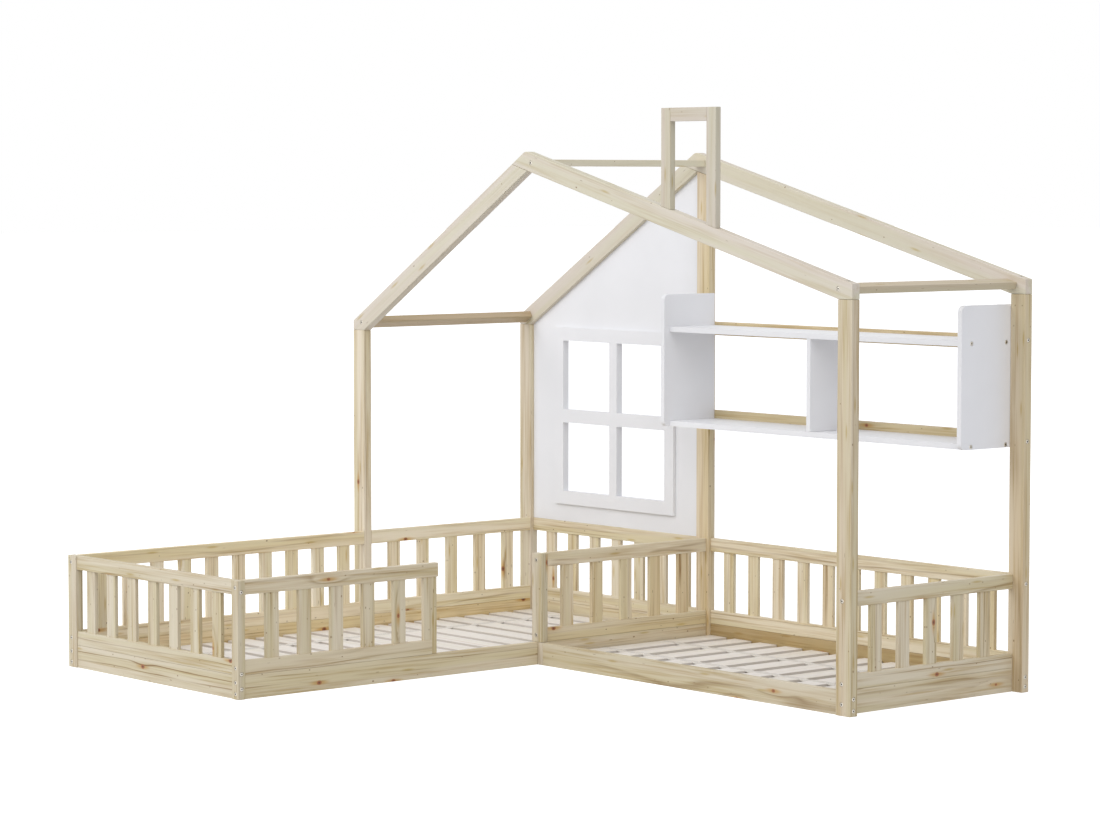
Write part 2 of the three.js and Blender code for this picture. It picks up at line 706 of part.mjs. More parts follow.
addHousePosts()
addRafters()
addPurlins()
addChimney()
addShortPosts()
addBoards()
addFences()
addLargeBase()
addSmallBase()
addGableWall()
addShelf()

bed.position.set(-totalWidth / 2, -totalDepth / 2, 0)
const group = new THREE.Group()
group.add(bed)

export default group
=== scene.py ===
import math
import random

import bmesh
import bpy
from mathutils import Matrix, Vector


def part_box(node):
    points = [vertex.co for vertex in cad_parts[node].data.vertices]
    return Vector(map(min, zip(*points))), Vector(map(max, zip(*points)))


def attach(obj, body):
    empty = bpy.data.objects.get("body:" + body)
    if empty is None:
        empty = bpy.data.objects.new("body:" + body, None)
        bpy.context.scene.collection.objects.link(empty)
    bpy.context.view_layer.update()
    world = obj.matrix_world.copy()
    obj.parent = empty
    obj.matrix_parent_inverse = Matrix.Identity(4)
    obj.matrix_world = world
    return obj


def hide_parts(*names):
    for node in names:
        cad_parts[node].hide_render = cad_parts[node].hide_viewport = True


# A children's corner bed of clear-lacquered pine with a house frame over its back half, dressed
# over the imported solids. Sizes are in millimetres from the middle of the bed, with z up. Only the
# camera, the lamps and the floor are placed in metres.

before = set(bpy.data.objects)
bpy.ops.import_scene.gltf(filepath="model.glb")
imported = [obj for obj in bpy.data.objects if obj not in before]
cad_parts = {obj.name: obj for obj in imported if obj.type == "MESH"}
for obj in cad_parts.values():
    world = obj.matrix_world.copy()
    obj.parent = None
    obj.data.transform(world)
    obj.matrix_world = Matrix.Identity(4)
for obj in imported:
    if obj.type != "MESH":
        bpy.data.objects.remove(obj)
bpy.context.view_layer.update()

MM = 0.001

# Camera at the photograph's angle, for a frame of 1100 x 824
CAMERA_PLACE = (8.4479, -7.05835, 1.6137)
CAMERA_HEADING = 49.837
CAMERA_DIP = 3.883
CAMERA_REACH = 200
SENSOR_WIDTH = 36
LENS = 111.81

# Lamps: kind, where each hangs, as seen from the bed, and its strength
LAMPS = {
    "softbox_front": ("AREA", (-2.2, -7.0, 6.4), 380),
    "window_right": ("SUN", (0.7, -0.48, 0.6), 0.78),
}
SOFTBOX_SIZE = 7
# Degrees that the light of the window spreads over
WINDOW_SPREAD = 50

# The room's own light, at the height of the horizon and straight up
CEILING = (0.41, 0.74)
FLOOR_REACH = 80

# Rounded-over edges
POST_EDGE = 2.2
RAIL_EDGE = 1.5
PICKET_EDGE = 1.5
SLAT_EDGE = 1.2
PANEL_EDGE = 0.9
EDGE_STEPS = 2
CORNER_STEPS = 8
SHARP_ANGLE = 30
CREASE_ANGLE = 50
# Faces whose normal has less than this share along a stick's thickness are its narrow sides
NARROW_SIDE = 0.5

# Fences
RAIL_HEIGHT = 46
PICKET_WIDTH = 49
PICKET_THICKNESS = 13
PICKET_TENON = 12
LEAST_END_GAP = 50
GATE_PICKET_PITCH = 125.5
GATE_STILE_WIDTH = 54
GATE_RAIL_OVERHANG = 4
GATE_STILE_LAP = 33

# Each fence's direction, the pitch of its pickets, and how far their row is off the fence's middle
FENCES = {
    "foot": ("x", 121, -8.4),
    "left_front": ("y", 112, 0),
    "left_back": ("y", 131, 0),
    "head": ("x", 121, 8.4),
    "middle": ("y", 131, -1.8),
    "end": ("y", 121, 0),
    "back": ("x", 121, -4.3),
}

# House frame
POST_WIDTH = 61
RAFTER_DEPTH = 61
JOINT_GAP = 0.3
MIDDLE_POST_PLACE = 961
HALF_WIDTH = 1239
LEFT_EAVE_HEIGHT = 1085.5
RIGHT_EAVE_HEIGHT = 1257.5
PEAK_HEIGHT = 1644.5
PEAK_ROUNDING = 32
PURLIN_WIDTH = 45
PURLIN_HEIGHT = 22.5

# Slatted bases
SLAT_WIDTH = 83
SLAT_THICKNESS = 14
WEBBING_WIDTH = 30
WEBBING_THICKNESS = 3
WEBBING_STANDS_PROUD = 0.2
WEBBING_SAG = 2.5

# Each bed's slats: the direction they are set out in, their pitch and where the webbing runs over
# them. A pitch or place below 0 is counted from the bed's back or right side.
BASES = {
    "large": ("y", -115.6, (211, -211)),
    "small": ("x", 125, (-223, -491)),
}

# Gable wall, window and shelf
WINDOW_BORDER = 48
WINDOW_MULLION = 41
SHELF_ROUNDING = 20
SHELF_BOLT_INSETS = (46, 205)

# Bolts with a hexagon socket, sunk flush in the wood
HEAD_RADIUS = 6.5
HEAD_DEPTH = 4.5
HEAD_CHAMFER = 0.8
HEAD_SUNK = 0.3
HEAD_SIDES = 24
SOCKET_RADIUS = 3.1
SOCKET_DEPTH = 3.8
SHANK_RADIUS = 3.25
HOLE_CLEARANCE = 0.9
HOLE_SPARE_DEPTH = 0.4
CUT_OVERSHOOT = 1
POST_BOLT_TIP = 20
RAFTER_BOLT_TIP = 60
SHELF_BOLT_TIP = 14
FENCE_BOLTS = (350, 98.3)
BOARD_BOLTS = (53, 17)
CROSSING_BOLTS = (336, 80, 33)
BACK_BOLTS = (350, 98.3, 35)

# Bolts in each post: the face, how far they are from its left or front edge, and their heights
BOLT_PLACES = {
    "corner_post_foot_left": [
        ("front", 18.3, FENCE_BOLTS + BOARD_BOLTS), ("left", 14, CROSSING_BOLTS)],
    "corner_post_foot_right": [
        ("front", 19.2, FENCE_BOLTS + BOARD_BOLTS), ("right", 14, CROSSING_BOLTS)],
    "corner_post_inner": [("front", 22.2, FENCE_BOLTS)],
    "post_front_left": [("left", 16.3, FENCE_BOLTS + BOARD_BOLTS)],
    "post_front_right": [("front", 25, (348.5, 96.5, 34.5)), ("right", 16.3, BOARD_BOLTS)],
    "post_back_left": [("left", 16.3, (344.4, 98.3, 48.8, 18.3)), ("back", 30.5, BACK_BOLTS)],
    "post_back_middle": [("back", 30.5, BACK_BOLTS)],
    "post_back_right": [
        ("right", 16.3, (1113, 794, 344.4, 48.8, 18.3)), ("back", 30.5, BACK_BOLTS)],
}

# Grade of the timber for each group of pieces, from clear and pale, 0, to knotty and lined, 1
ROOF_GRADE = (0.0, 0.25)
POST_GRADE = (0.35, 0.6)
BOARD_GRADE = (0.6, 0.78)
PICKET_GRADE = (0.8, 1.0)

# The timber that pieces are cut from, with painted shade and painted light: how dark each group is drawn
# and how yellow its heartwood. Each value is partly the wood's own tone and partly stands in for the
# light on that group. It is lighter for the inner fences, and darker and yellower for low, back and
# shaded pieces such as the left eave purlin. The longest name that a piece's own begins with counts.
TIMBER_TONES_AND_PAINTED_SHADE = {
    "": (0.47, 0.45),
    "fence_left": (0, 0.35),
    "board_left": (0.08, 1.3),
    "fence_back": (0.18, 0.4),
    "board_back": (0.91, 1.9),
    "fence_head": (0.26, 0.3),
    "board_head": (0.33, 0.5),
    "fence_middle": (0.29, 0.5),
    "fence_gate": (0.51, 0.25),
    "fence_end": (0.51, 0.25),
    "board_end": (0.48, 0.25),
    "fence_foot": (0.62, 0.15),
    "board_foot": (0.65, 0.15),
    "board_front": (0.66, 0.25),
    "corner_": (0.7, 0.2),
    "post_": (0.62, 0.65),
    "post_front_left": (0.33, 0.5),
    "post_back_left": (0.47, 0.6),
    "post_back_middle": (0.29, 0.7),
    "post_back_right": (0.53, 1),
    "purlin_": (0.83, 0.8),
    "purlin_left_eave": (0.98, 1.6),
    "purlin_ridge": (0.4, 0.3),
    "chimney": (0.8, 0.1),
    "rafter_": (0.62, 0.2),
    "shelf_back_rail": (0.47, 0.9),
}

# Where in the log a stick is cut: along it, and off its pith across the stick's face and through it
CUT_ALONG = (0, 9000)
CUT_ACROSS = (-70, 70)
CUT_THROUGH = (35, 110)

# Soft patterns in the wood: length along the grain, width across it and number of finer layers.
# Fibre finer than 1 mm in the real wood is drawn 5 mm wide, or it would not show.
WOOD_PATTERNS = {
    "drift": (1000, 150, 2),
    "wobble": (110, 24, 1),
    "fade": (420, 21, 1),
    "fibre": (210, 5, 2),
    "bands": (1400, 34, 1),
}

# Knots: the width of the room of each as a share of its length, their radii, how soft their edge
# is, how much distance along the grain counts for their stain and the lines they bend, how far off
# the stain starts and is full, and how far they bend the lines and from how far off
KNOT_ROOM_SHAPE = 0.7
KNOT_RADII = (3, 7.5)
KNOT_SOFTNESS = 1.6
WEIGHT_ALONG = 0.3
STAIN_REACH = (11, 2)
BEND = 6
BEND_REACH = 24

# Growth lines and heartwood: how far rings wobble, and how far from the pith heartwood is at its
# faintest and full
RING_WOBBLE = 1.4
HEARTWOOD_REACH = (115, 50)

# Pin knots, 2 to 5 mm across, then resin streaks, about 1.5 x 12 mm: the room that each has along
# the grain and across it, and the share of rooms that hold one in the knottiest wood. Their radii
# are shares of their rooms.
PIN_KNOTS = ((62, 38, 0.6), (120, 16, 0.2))
PIN_SIZES = (0.03, 0.065)

# Flecks of resin are soft-edged, about 60 x 10 mm, and lie in every grade
FLECK_ROOM = (240, 40)
FLECK_SHARE = 0.4

AXES = {"x": Vector((1, 0, 0)), "y": Vector((0, 1, 0)), "z": Vector((0, 0, 1))}
OUTWARD = {"front": -AXES["y"], "back": AXES["y"], "left": -AXES["x"], "right": AXES["x"]}


# Camera, lamps and floor

def add_camera():
    camera = bpy.data.cameras.new("camera")
    camera.sensor_width = SENSOR_WIDTH
    camera.lens = LENS
    camera.clip_end = CAMERA_REACH
    stand = bpy.data.objects.new("camera", camera)
    stand.location = CAMERA_PLACE
    stand.rotation_euler = (math.radians(90 - CAMERA_DIP), 0, math.radians(CAMERA_HEADING))
    bpy.context.scene.collection.objects.link(stand)
    bpy.context.scene.camera = stand


def linear(colour):
    """An sRGB hex colour as the linear colour that a shader takes."""
    channels = [int(colour[start:start + 2], 16) / 255 for start in (1, 3, 5)]
    return [c / 12.92 if c <= 0.04045 else ((c + 0.055) / 1.055) ** 2.4 for c in channels] + [1]


def node(tree, kind, settings=None, links=None):
    """Adds a shader node of this kind with its settings and links. A ramp's stops are pairs of
    place and colour."""
    made = tree.nodes.new(f"ShaderNode{kind}")
    for key, value in (settings or {}).items():
        if key == "stops":
            elements = made.color_ramp.elements
            while len(elements) < len(value):
                elements.new(1)
            for element, (place, colour) in zip(elements, value):
                element.position = place
                element.color = linear(colour)
        elif isinstance(key, int) or key in made.inputs:
            made.inputs[key].default_value = value
        else:
            setattr(made, key, value)
    for key, output in (links or {}).items():
        tree.links.new(output, made.inputs[key])
    return made


def new_material(name):
    material = bpy.data.materials.new(name)
    material.use_nodes = True
    material.node_tree.nodes.clear()
    return material, material.node_tree


def seen_directly(tree):
    """1 for the rays that see a backdrop as such: the camera's, and those off metal and through glass."""
    path = node(tree, "LightPath")
    mirrored = node(tree, "Math", {"operation": "MAXIMUM"}, {
        0: path.outputs["Is Glossy Ray"], 1: path.outputs["Is Transmission Ray"]})
    return node(tree, "Math", {"operation": "MAXIMUM"}, {
        0: path.outputs["Is Camera Ray"], 1: mirrored.outputs[0]}).outputs[0]


def add_studio():
    world = bpy.data.worlds.new("studio")
    world.use_nodes = True
    tree = world.node_tree
    tree.nodes.clear()
    upward = node(tree, "SeparateXYZ", {}, {0: node(tree, "TexCoord").outputs["Generated"]})
    brightness = node(tree, "MapRange", {3: CEILING[0], 4: CEILING[1]}, {0: upward.outputs["Z"]})
    room = node(tree, "Background", {"Color": linear("#f7f9ff")}, {"Strength": brightness.outputs[0]})
    backdrop = node(tree, "Background", {"Color": linear("#ffffff"), "Strength": 1})
    shown = node(tree, "MixShader", {}, {
        0: seen_directly(tree), 1: room.outputs[0], 2: backdrop.outputs[0]})
    node(tree, "OutputWorld", {}, {"Surface": shown.outputs[0]})
    bpy.context.scene.world = world

    for name, (kind, place, energy) in LAMPS.items():
        lamp = bpy.data.lights.new(name, kind)
        lamp.energy = energy
        if kind == "AREA":
            lamp.size = SOFTBOX_SIZE
        else:
            lamp.angle = math.radians(WINDOW_SPREAD)
        hung = bpy.data.objects.new(name, lamp)
        hung.location = place
        hung.rotation_euler = (-Vector(place)).to_track_quat("-Z", "Y").to_euler()
        hung.visible_camera = False
        bpy.context.scene.collection.objects.link(hung)
    bpy.context.scene.view_settings.view_transform = "Standard"


def add_floor():
    """A floor of matt white paint, which differs a little from place to place."""
    material, tree = new_material("studio_floor_matt_white_paint")
    patches = node(tree, "TexNoise", {"Scale": 400, "Detail": 2})
    paint = node(tree, "ValToRGB", {"stops": [(0.3, "#dcdcdc"), (0.7, "#dedede")]}, {
        "Fac": patches.outputs["Fac"]})
    lit = node(tree, "BsdfDiffuse", {}, {"Color": paint.outputs["Color"]})
    glow = node(tree, "Emission", {"Color": linear("#ffffff"), "Strength": 0.7})
    bright = node(tree, "AddShader", {}, {0: lit.outputs[0], 1: glow.outputs[0]})
    shown = node(tree, "MixShader", {}, {
        0: seen_directly(tree), 1: lit.outputs[0], 2: bright.outputs[0]})
    node(tree, "OutputMaterial", {}, {"Surface": shown.outputs[0]})

    mesh = bpy.data.meshes.new("studio_floor")
    sides = ((-1, -1), (1, -1), (1, 1), (-1, 1))
    mesh.from_pydata([(x * FLOOR_REACH, y * FLOOR_REACH, 0) for x, y in sides], [], [(0, 1, 2, 3)])
    mesh.materials.append(material)
    floor = bpy.data.objects.new("studio_floor", mesh)
    bpy.context.scene.collection.objects.link(floor)


# Finishes. Every wooden piece carries its sticks' own coordinates in millimetres, along the grain,
# across the broad face and through the thickness, in the attribute "board".

def pine_finish():
    """Pine boards, planed, sanded and clear lacquered: pale wood that turns from pinkish to
    greenish cream in soft bands, with thin tan growth lines that run with the board, reddish
    knots in stained wood, dark pin knots, and a soft satin sheen."""
    material, tree = new_material("pine_planed_clear_lacquered")
    wood = wood_figure(tree, ring_width=9, sway=34, knot_room=180, knot_share=0.75)
    # How dark and how yellow each piece is drawn: partly its timber's own tone and heartwood, partly
    # painted shade and painted light
    darkness, heartwood = [
        node(tree, "Attribute", {"attribute_name": name}).outputs["Fac"]
        for name in ("darkness", "heartwood")]

    clear_wood = node(tree, "ValToRGB", {
        "stops": [(0.2, "#f8f1e8"), (0.8, "#f3f0dd")]}, {"Fac": wood["bands"]})
    knotty_wood = node(tree, "ValToRGB", {
        "stops": [(0.2, "#f4ecd8"), (0.5, "#eee6ce"), (0.8, "#ebe2c2")]}, {"Fac": wood["bands"]})
    knotty = node(tree, "MapRange", {1: 0.2, 2: 0.6}, {0: wood["grade"]})
    ground = node(tree, "Mix", {"data_type": "RGBA"}, {
        0: knotty.outputs[0], 6: clear_wood.outputs["Color"], 7: knotty_wood.outputs["Color"]})
    heartwood_and_painted_yellow = node(tree, "Math", {"operation": "MULTIPLY"}, {0: wood["heart"], 1: heartwood})

    # What tints the wood and how strongly, one over the other
    tinted = ground.outputs[2]
    # The first two tints are partly the piece's own tone and heartwood, and partly painted shade and
    # painted light
    tints = (
        (darkness, "#c9c5bf"),
        (heartwood_and_painted_yellow.outputs[0], "#f3dbaa"),
        (wood["flecks"], "#eadfbe"),
        (wood["lines"], "#a38452"),
        (wood["fibre"], "#e3d7c0"),
        (wood["stain"], "#ecd0a2"),
    )
    for amount, tint in tints:
        tinted = node(tree, "Mix", {"data_type": "RGBA", "blend_type": "MULTIPLY", 7: linear(tint)}, {
            0: amount, 6: tinted}).outputs[2]

    knot_wood = node(tree, "ValToRGB", {"stops": [
        (0.0, "#c99a66"), (0.25, "#9c6440"), (0.5, "#a96f47"), (1.0, "#68402a")]}, {
        "Fac": wood["knot_depth"]})
    knotted = node(tree, "Mix", {"data_type": "RGBA"}, {
        0: wood["knots"], 6: tinted, 7: knot_wood.outputs["Color"]})
    pinned = node(tree, "Mix", {"data_type": "RGBA", 7: linear("#80633f")}, {
        0: wood["pins"], 6: knotted.outputs[2]})

    relief = node(tree, "Math", {"operation": "ADD"}, {0: wood["fibre"], 1: wood["lines"]})
    bump = node(tree, "Bump", {"Strength": 0.2, "Distance": 0.12 * MM}, {"Height": relief.outputs[0]})
    sheen = node(tree, "MapRange", {3: 0.48, 4: 0.6}, {0: wood["fibre"]})
    skin = node(tree, "BsdfPrincipled", {"IOR": 1.5}, {
        "Base Color": pinned.outputs[2],
        "Roughness": sheen.outputs[0],
        "Normal": bump.outputs[0],
    })
    node(tree, "OutputMaterial", {}, {"Surface": skin.outputs[0]})
    return material


def wood_figure(tree, ring_width, sway, knot_room, knot_share):
    """The figure of a board, each part from 0 to 1: soft bands, heartwood, growth lines, flecks of
    resin, fibre, knots with the stain round them and the depth into them, and pin knots. A low
    grade is clear wood."""
    board = node(tree, "Attribute", {"attribute_name": "board"}).outputs["Vector"]
    grade = node(tree, "Attribute", {"attribute_name": "grade"}).outputs["Fac"]
    soft = {}
    for name, (length, width, layers) in WOOD_PATTERNS.items():
        stretched = node(tree, "VectorMath", {
            "operation": "MULTIPLY", 1: (1 / length, 1 / width, 1 / width)}, {0: board})
        soft[name] = node(tree, "TexNoise", {"Scale": 1, "Detail": layers}, {
            "Vector": stretched.outputs[0]})

    # Knots and flecks are spots on every face, so the places across the face and through it count
    # as one
    sides = node(tree, "SeparateXYZ", {}, {0: board})
    wrapped = node(tree, "Math", {"operation": "ADD"}, {0: sides.outputs["Y"], 1: sides.outputs["Z"]})
    face = node(tree, "CombineXYZ", {}, {
        "X": sides.outputs["X"], "Y": wrapped.outputs[0]}).outputs[0]

    core, depth, stained, bend, chosen = knots_in(tree, face, grade, knot_room, knot_share)
    late_wood, vigour, heart = rings_in(tree, board, soft, bend, chosen, ring_width, sway)
    fleck, resinous = flecks_in(tree, face)

    # Lines and fibre come and go along the board, and are weak in clear wood
    fading = node(tree, "MapRange", {1: 0.38, 2: 0.6, 3: 0.08, 4: 1}, {0: soft["fade"].outputs["Fac"]})
    strength = node(tree, "MapRange", {1: 0.2, 2: 0.65, 3: 0.12, 4: 1}, {0: grade})
    combed = node(tree, "MapRange", {1: 0.34, 2: 0.66}, {0: soft["fibre"].outputs["Fac"]})
    coarseness = node(tree, "MapRange", {1: 0.1, 2: 0.4, 3: 0.3, 4: 1}, {0: grade})
    bands = node(tree, "MapRange", {1: 0.3, 2: 0.7}, {0: soft["bands"].outputs["Fac"]})

    figure = {
        "grade": grade,
        "bands": bands.outputs[0],
        "heart": heart.outputs[0],
        "knot_depth": depth.outputs[0],
        "pins": pins_in(tree, face, grade).outputs[0],
    }
    products = {
        "lines": (late_wood, vigour, fading, strength),
        "fibre": (combed, fading, coarseness),
        "knots": (core, chosen),
        "stain": (stained, chosen),
        "flecks": (fleck, resinous),
    }
    for part, (shown, *factors) in products.items():
        for factor in factors:
            shown = node(tree, "Math", {"operation": "MULTIPLY"}, {
                0: shown.outputs[0], 1: factor.outputs[0]})
        figure[part] = shown.outputs[0]
    return figure


def scattered(tree, face, length, width, randomness=1):
    """Spots scattered over a face, one in each room of this length and width: the place in rooms,
    the nearest spot, and the three chances that were drawn for it."""
    rooms = node(tree, "VectorMath", {"operation": "MULTIPLY", 1: (1 / length, 1 / width, 0)}, {
        0: face}).outputs[0]
    spots = node(tree, "TexVoronoi", {
        "voronoi_dimensions": "2D", "Scale": 1, "Randomness": randomness}, {"Vector": rooms})
    chances = node(tree, "SeparateColor", {}, {0: spots.outputs["Color"]})
    return rooms, spots, chances.outputs


def knots_in(tree, face, grade, room, share):
    """The knots that may lie in a board, the depth into them, the stain round them, how far they
    bend the growth lines, and which of them are really there."""
    rooms, spots, chances = scattered(tree, face, room / KNOT_ROOM_SHAPE, room, 0.9)
    graded = node(tree, "MapRange", {1: 0.25, 2: 0.65, 3: 0, 4: share}, {0: grade})
    in_pickets = node(tree, "MapRange", {1: 0.78, 2: 0.8, 3: 1, 4: 0.35}, {0: grade})
    likely = node(tree, "Math", {"operation": "MULTIPLY"}, {
        0: graded.outputs[0], 1: in_pickets.outputs[0]})
    chosen = node(tree, "Math", {"operation": "LESS_THAN"}, {0: chances[0], 1: likely.outputs[0]})

    # How far a place is from the middle of the nearest knot, and the same with less weight along
    # the grain, where stain and bent lines reach further
    offset = node(tree, "VectorMath", {"operation": "SUBTRACT"}, {
        0: rooms, 1: spots.outputs["Position"]})
    distances = []
    for weight in (1, WEIGHT_ALONG):
        scaled = node(tree, "VectorMath", {
            "operation": "MULTIPLY", 1: (room * weight, room, 0)}, {0: offset.outputs[0]})
        distances.append(node(tree, "VectorMath", {"operation": "LENGTH"}, {
            0: scaled.outputs[0]}).outputs["Value"])
    near, near_along = distances

    radius = node(tree, "MapRange", {3: KNOT_RADII[0], 4: KNOT_RADII[1]}, {0: chances[1]})
    inside = node(tree, "Math", {"operation": "SUBTRACT"}, {0: radius.outputs[0], 1: near})
    core = node(tree, "MapRange", {
        "interpolation_type": "SMOOTHSTEP", 1: -KNOT_SOFTNESS, 2: 1}, {0: inside.outputs[0]})
    depth = node(tree, "MapRange", {1: -KNOT_SOFTNESS, 2: 5}, {0: inside.outputs[0]})
    stained = node(tree, "MapRange", {
        "interpolation_type": "SMOOTHSTEP", 1: STAIN_REACH[0], 2: STAIN_REACH[1]}, {0: near_along})
    bend = node(tree, "MapRange", {
        "interpolation_type": "SMOOTHSTEP", 1: BEND_REACH, 2: 0, 3: 0, 4: BEND}, {0: near_along})
    return core, depth, stained, bend, chosen


def rings_in(tree, board, soft, bend, chosen, ring_width, sway):
    """The late wood of each year's ring about the pith, how strongly that year shows, and the
    heartwood. The rings wander, and bend a little round each knot."""
    drifted = node(tree, "VectorMath", {"operation": "MULTIPLY_ADD", 1: (0, sway, sway)}, {
        0: soft["drift"].outputs["Color"], 2: board})
    wobbled = node(tree, "VectorMath", {
        "operation": "MULTIPLY_ADD", 1: (0, RING_WOBBLE, RING_WOBBLE)}, {
        0: soft["wobble"].outputs["Color"], 2: drifted.outputs[0]})
    across = node(tree, "VectorMath", {"operation": "MULTIPLY", 1: (0, 1, 1)}, {0: wobbled.outputs[0]})
    from_pith = node(tree, "VectorMath", {"operation": "LENGTH"}, {
        0: across.outputs[0]}).outputs["Value"]
    heart = node(tree, "MapRange", {
        "interpolation_type": "SMOOTHSTEP",
        1: HEARTWOOD_REACH[0], 2: HEARTWOOD_REACH[1], 3: 0.4, 4: 1}, {0: from_pith})
    push = node(tree, "Math", {"operation": "MULTIPLY"}, {0: bend.outputs[0], 1: chosen.outputs[0]})
    bent = node(tree, "Math", {"operation": "ADD"}, {0: from_pith, 1: push.outputs[0]})
    rings = node(tree, "Math", {"operation": "DIVIDE", 1: ring_width}, {0: bent.outputs[0]})
    season = node(tree, "Math", {"operation": "FRACT"}, {0: rings.outputs[0]})
    late_wood = node(tree, "ValToRGB", {"stops": [
        (0.0, "#000000"), (0.64, "#101010"), (0.87, "#ffffff"), (1.0, "#181818"),
    ]}, {"Fac": season.outputs[0]})
    year = node(tree, "Math", {"operation": "FLOOR"}, {0: rings.outputs[0]})
    weather = node(tree, "TexWhiteNoise", {"noise_dimensions": "1D"}, {"W": year.outputs[0]})
    vigour = node(tree, "MapRange", {1: 0.4, 2: 0.95, 3: 0.1, 4: 1}, {0: weather.outputs["Value"]})
    return late_wood, vigour, heart


def pins_in(tree, face, grade):
    """Pin knots and resin streaks: which places have one, how dark it is and its soft-edged spot."""
    pins = []
    for length, width, share in PIN_KNOTS:
        rooms, spots, chances = scattered(tree, face, length, width)
        graded = node(tree, "MapRange", {1: 0.6, 2: 1, 3: share / 5, 4: share}, {0: grade})
        shown = node(tree, "Math", {"operation": "LESS_THAN"}, {0: chances[0], 1: graded.outputs[0]})
        size = node(tree, "MapRange", {3: PIN_SIZES[0], 4: PIN_SIZES[1]}, {0: chances[1]})
        inside = node(tree, "Math", {"operation": "SUBTRACT"}, {
            0: size.outputs[0], 1: spots.outputs["Distance"]})
        spot = node(tree, "MapRange", {
            "interpolation_type": "SMOOTHSTEP", 1: -0.015, 2: 0.02}, {0: inside.outputs[0]})
        dark = node(tree, "MapRange", {3: 0.35, 4: 0.95}, {0: chances[2]})
        for factor in (spot, dark):
            shown = node(tree, "Math", {"operation": "MULTIPLY"}, {
                0: shown.outputs[0], 1: factor.outputs[0]})
        pins.append(shown.outputs[0])
    return node(tree, "Math", {"operation": "MAXIMUM"}, {0: pins[0], 1: pins[1]})


def flecks_in(tree, face):
    """The flecks of resin that may lie in a board, and which of them are really there."""
    rooms, spots, chances = scattered(tree, face, *FLECK_ROOM)
    resinous = node(tree, "Math", {"operation": "LESS_THAN", 1: FLECK_SHARE}, {0: chances[0]})
    fleck = node(tree, "MapRange", {
        "interpolation_type": "SMOOTHSTEP", 1: 0.15, 2: 0.02}, {0: spots.outputs["Distance"]})
    return fleck, resinous


def slat_finish(name, colours, line_colour):
    """Slats of fast-grown softwood, left bare: chalky pale wood with a faint pink cast, weak growth lines
    and almost no sheen. Drawn greyer on the narrow sides, the same finish gives the edges' own duller
    tone and the painted shade that falls into the gaps between the slats."""
    material, tree = new_material(name)
    wood = wood_figure(tree, ring_width=8, sway=24, knot_room=260, knot_share=0.3)
    ground = node(tree, "ValToRGB", {
        "stops": [(0.2, colours[0]), (0.8, colours[1])]}, {"Fac": wood["bands"]})
    lined = node(tree, "Mix", {"data_type": "RGBA", "blend_type": "MULTIPLY", 7: linear(line_colour)}, {
        0: wood["lines"], 6: ground.outputs["Color"]})
    knotted = node(tree, "Mix", {"data_type": "RGBA", 7: linear("#c3ab90")}, {
        0: wood["knots"], 6: lined.outputs[2]})
    bump = node(tree, "Bump", {"Strength": 0.3, "Distance": 0.2 * MM}, {"Height": wood["fibre"]})
    rough = node(tree, "MapRange", {3: 0.72, 4: 0.85}, {0: wood["fibre"]})
    skin = node(tree, "BsdfPrincipled", {"IOR": 1.45}, {
        "Base Color": knotted.outputs[2],
        "Roughness": rough.outputs[0],
        "Normal": bump.outputs[0],
    })
    node(tree, "OutputMaterial", {}, {"Surface": skin.outputs[0]})
    return material


def lacquer_finish():
    """Fibreboard sprayed with white lacquer: an even cool white with a satin sheen, a faint
    orange-peel ripple from the spray gun and slightly uneven gloss."""
    material, tree = new_material("fibreboard_sprayed_white_lacquer")
    place = node(tree, "TexCoord").outputs["Object"]
    # Spray ripple of about 3 mm, and coats that differ over about 250 mm
    ripple = node(tree, "TexNoise", {"Scale": 1 / (3 * MM), "Detail": 1}, {"Vector": place})
    coats = node(tree, "TexNoise", {"Scale": 1 / (250 * MM), "Detail": 3}, {"Vector": place})
    paint = node(tree, "ValToRGB", {"stops": [(0.35, "#ededef"), (0.65, "#f1f1f3")]}, {
        "Fac": coats.outputs["Fac"]})
    gloss = node(tree, "MapRange", {1: 0.3, 2: 0.7, 3: 0.36, 4: 0.46}, {0: coats.outputs["Fac"]})
    bump = node(tree, "Bump", {"Strength": 0.12, "Distance": 0.1 * MM}, {
        "Height": ripple.outputs["Fac"]})
    skin = node(tree, "BsdfPrincipled", {"IOR": 1.5}, {
        "Base Color": paint.outputs["Color"],
        "Roughness": gloss.outputs[0],
        "Normal": bump.outputs[0],
    })
    node(tree, "OutputMaterial", {}, {"Surface": skin.outputs[0]})
    return material


def zinc_finish(name, colours):
    """Steel bolts, turned and zinc plated: a pale grey metal with a fine mottle on the heads. Drawn in
    dark colours on the narrow sides, the same finish paints the shade down the bolts' sides and in their
    sockets."""
    material, tree = new_material(name)
    place = node(tree, "TexCoord").outputs["Object"]
    # Mottle of about 1 mm in the plating
    mottle = node(tree, "TexNoise", {"Scale": 1 / (1 * MM), "Detail": 2}, {"Vector": place})
    plating_and_painted_shade = node(tree, "ValToRGB", {
        "stops": [(0.3, colours[0]), (0.7, colours[1])]}, {"Fac": mottle.outputs["Fac"]})
    shine = node(tree, "MapRange", {1: 0.3, 2: 0.7, 3: 0.4, 4: 0.52}, {0: mottle.outputs["Fac"]})
    skin = node(tree, "BsdfPrincipled", {"Metallic": 1}, {
        "Base Color": plating_and_painted_shade.outputs["Color"],
        "Roughness": shine.outputs[0],
    })
    node(tree, "OutputMaterial", {}, {"Surface": skin.outputs[0]})
    return material


